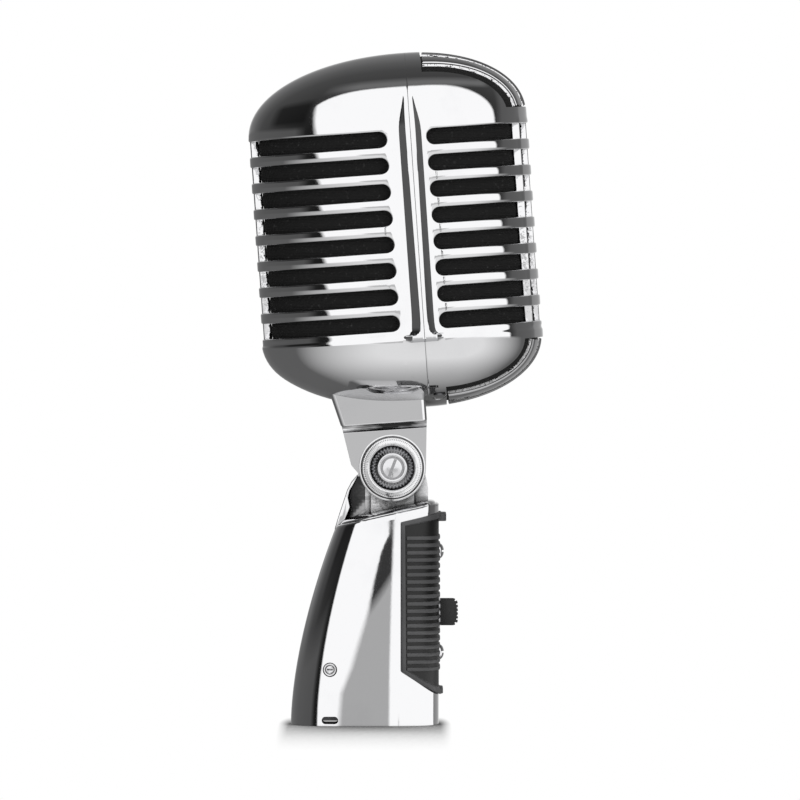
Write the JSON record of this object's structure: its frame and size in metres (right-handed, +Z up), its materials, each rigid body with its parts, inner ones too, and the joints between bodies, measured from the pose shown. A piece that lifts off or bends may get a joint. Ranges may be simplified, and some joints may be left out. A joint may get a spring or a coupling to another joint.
{
  "type": "microphone",
  "caption": "Retro stage microphone with a slotted chrome head that tilts on a tapered swivel base with a slide switch.",
  "frame": {"origin": "on the flat bottom face, on the axis of the stand thread", "axes": "+Z up; -Y is the front, which the voice faces; X runs along the tilt axis"},
  "size_m": [0.0564, 0.0821, 0.1883],
  "materials": {
    "chrome": "polished",
    "zinc": "as cast",
    "dark_steel": "blackened",
    "bright_steel": "bright plated",
    "brass": "turned",
    "insert_plastic": "moulded",
    "pin_metal": "silver plated",
    "black_plastic": "satin, ribbed",
    "knob_plastic": "matt",
    "phenolic": "pressed board",
    "fibre": "pressed fibre",
    "lead": "smooth sheath",
    "cloth": "woven, backed with foam",
    "rubber": "moulded",
    "satin_metal": "satin",
    "film": "thin pressed film",
    "copper": "enamelled wire",
    "magnet_steel": "ground"
  },
  "bodies": {
    "base": {"base_housing": "chrome", "bottom_block": "zinc", "bottom_screws": "dark_steel", "stand_bush": "brass", "xlr_insert": "insert_plastic", "xlr_pins": "pin_metal", "xlr_set_screw": "bright_steel", "switch_panel": "black_plastic", "panel_screws": "bright_steel", "switch_frame": "bright_steel", "switch_body": "phenolic", "friction_washers": "fibre", "base_lead": "lead", "xlr_lead": "lead"},
    "head": {"neck": "chrome", "neck_screws": "dark_steel", "neck_nuts": "dark_steel", "pivot_bolt": "bright_steel", "pivot_nut": "bright_steel", "left_cup": "chrome", "right_cup": "chrome", "lock_washers": "bright_steel", "rear_shell": "chrome", "front_shell": "chrome", "shell_screws": "dark_steel", "rear_liner": "cloth", "front_liner": "cloth", "cartridge_bracket": "bright_steel", "shock_mount": "rubber", "cartridge_case": "satin_metal", "resonator_cap": "satin_metal", "diaphragm": "film", "voice_coil": "copper", "top_plate": "magnet_steel", "magnet": "magnet_steel", "pole_piece": "magnet_steel", "yoke": "magnet_steel", "terminal_board": "phenolic", "head_lead": "lead"},
    "knob": {"switch_knob": "knob_plastic", "knob_plate": "bright_steel"}
  },
  "joints": [
    {"name": "head_tilt", "type": "hinge", "parent": "base", "child": "head", "pos_m": [0, 0.0013, 0.0719], "axis": [1, 0, 0], "range_deg": [-76, 49]},
    {"name": "switch_slide", "type": "slide", "parent": "base", "child": "knob", "axis": [0, 0, 1], "range_m": [0, 0.0058]}
  ]
}
